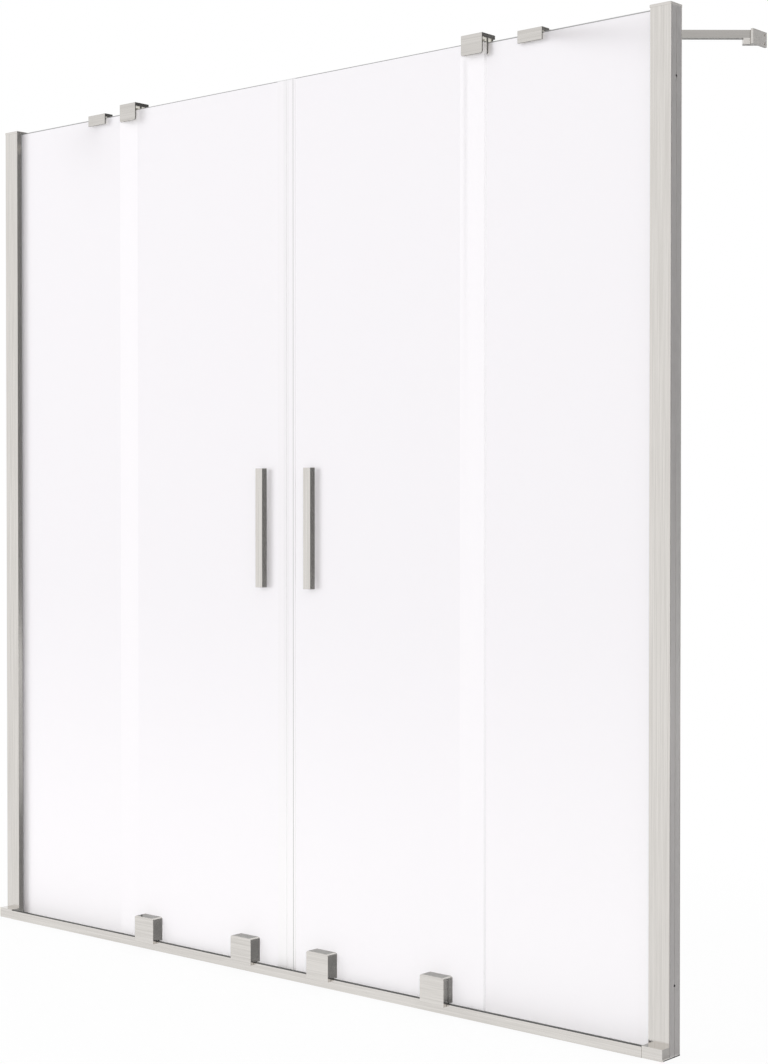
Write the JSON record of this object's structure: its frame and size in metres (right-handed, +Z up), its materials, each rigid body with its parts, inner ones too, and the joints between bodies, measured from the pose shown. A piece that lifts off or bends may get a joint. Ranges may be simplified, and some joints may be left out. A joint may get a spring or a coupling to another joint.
{
  "type": "sliding bath screen",
  "caption": "Satin glass bath screen whose doors roll along a bottom rail between fixed side panes, held by brushed metal wall posts, top guides and stabiliser bars.",
  "frame": {"origin": "underside of the bottom rail, halfway along it, in the middle plane of the door glass", "axes": "+X along the bath to the right seen from the room, +Y from the room towards the bath, +Z up"},
  "size_m": [1.5, 0.2895, 1.508],
  "materials": {
    "brushed_nickel": "brushed",
    "channel_aluminium": "mill",
    "clear_glass": "satin",
    "clear_seal": "clear",
    "track_steel": "blackened",
    "guide_liner": "satin",
    "roller_nylon": "satin",
    "carriage_plastic": "satin",
    "fasteners": "plain",
    "magnet": "coated white",
    "pad_rubber": "matt"
  },
  "bodies": {
    "frame": {"bottom_rail": "brushed_nickel", "roller_track": "track_steel", "foot_pads": "pad_rubber", "glass_liners": "guide_liner", "set_screws": "fasteners", "rail_foot_left": "brushed_nickel", "rail_foot_right": "brushed_nickel", "wall_channel_left": "channel_aluminium", "wall_channel_right": "channel_aluminium", "post_profile_left": "brushed_nickel", "post_profile_right": "brushed_nickel", "post_cap_left": "brushed_nickel", "post_cap_right": "brushed_nickel", "glazing_gasket_left": "clear_seal", "glazing_gasket_right": "clear_seal", "fixed_glass_left": "clear_glass", "fixed_glass_right": "clear_glass", "sill_gasket_left": "clear_seal", "sill_gasket_right": "clear_seal", "overlap_seal_left": "clear_seal", "overlap_seal_right": "clear_seal", "top_guide_left": "brushed_nickel", "top_guide_right": "brushed_nickel", "door_guide_liner_left": "guide_liner", "door_guide_liner_right": "guide_liner", "stabiliser_clamp_left": "brushed_nickel", "stabiliser_clamp_right": "brushed_nickel", "stabiliser_bar_left": "brushed_nickel", "stabiliser_bar_right": "brushed_nickel", "wall_bracket_left": "brushed_nickel", "wall_bracket_right": "brushed_nickel"},
    "door_left": {"door_glass_left": "clear_glass", "closing_seal_left": "clear_seal", "magnet_strip_left": "magnet", "bottom_wiper_left": "clear_seal", "handle_outer_left": "brushed_nickel", "handle_inner_left": "brushed_nickel", "handle_studs_left": "fasteners", "carriage_cover_inner_left": "brushed_nickel", "carriage_cover_outer_left": "brushed_nickel", "carriage_bodies_left": "carriage_plastic", "carriage_axles_left": "fasteners", "carriage_bolts_left": "fasteners"},
    "door_right": {"door_glass_right": "clear_glass", "closing_seal_right": "clear_seal", "magnet_strip_right": "magnet", "bottom_wiper_right": "clear_seal", "handle_outer_right": "brushed_nickel", "handle_inner_right": "brushed_nickel", "handle_studs_right": "fasteners", "carriage_cover_inner_right": "brushed_nickel", "carriage_cover_outer_right": "brushed_nickel", "carriage_bodies_right": "carriage_plastic", "carriage_axles_right": "fasteners", "carriage_bolts_right": "fasteners"},
    "roller_inner_left_body": {"roller_inner_left": "roller_nylon"},
    "roller_outer_left_body": {"roller_outer_left": "roller_nylon"},
    "roller_inner_right_body": {"roller_inner_right": "roller_nylon"},
    "roller_outer_right_body": {"roller_outer_right": "roller_nylon"}
  },
  "joints": [
    {"name": "door_left_slide", "type": "slide", "parent": "frame", "child": "door_left", "axis": [-1, 0, 0], "range_m": [0, 0.29]},
    {"name": "door_right_slide", "type": "slide", "parent": "frame", "child": "door_right", "axis": [1, 0, 0], "range_m": [0, 0.29]},
    {"name": "roller_inner_left_spin", "type": "hinge", "parent": "door_left", "child": "roller_inner_left_body", "pos_m": [-0.0886, -0.014, 0.0255], "axis": [0, 1, 0], "continuous": true},
    {"name": "roller_outer_left_spin", "type": "hinge", "parent": "door_left", "child": "roller_outer_left_body", "pos_m": [-0.3318, -0.014, 0.0255], "axis": [0, 1, 0], "continuous": true},
    {"name": "roller_inner_right_spin", "type": "hinge", "parent": "door_right", "child": "roller_inner_right_body", "pos_m": [0.0886, -0.014, 0.0255], "axis": [0, 1, 0], "continuous": true},
    {"name": "roller_outer_right_spin", "type": "hinge", "parent": "door_right", "child": "roller_outer_right_body", "pos_m": [0.3318, -0.014, 0.0255], "axis": [0, 1, 0], "continuous": true}
  ],
  "couplings": [
    {"joint": "roller_inner_left_spin", "follows": "door_left_slide", "rad_per_m": -125},
    {"joint": "roller_outer_left_spin", "follows": "door_left_slide", "rad_per_m": -125},
    {"joint": "roller_inner_right_spin", "follows": "door_right_slide", "rad_per_m": 125},
    {"joint": "roller_outer_right_spin", "follows": "door_right_slide", "rad_per_m": 125}
  ]
}
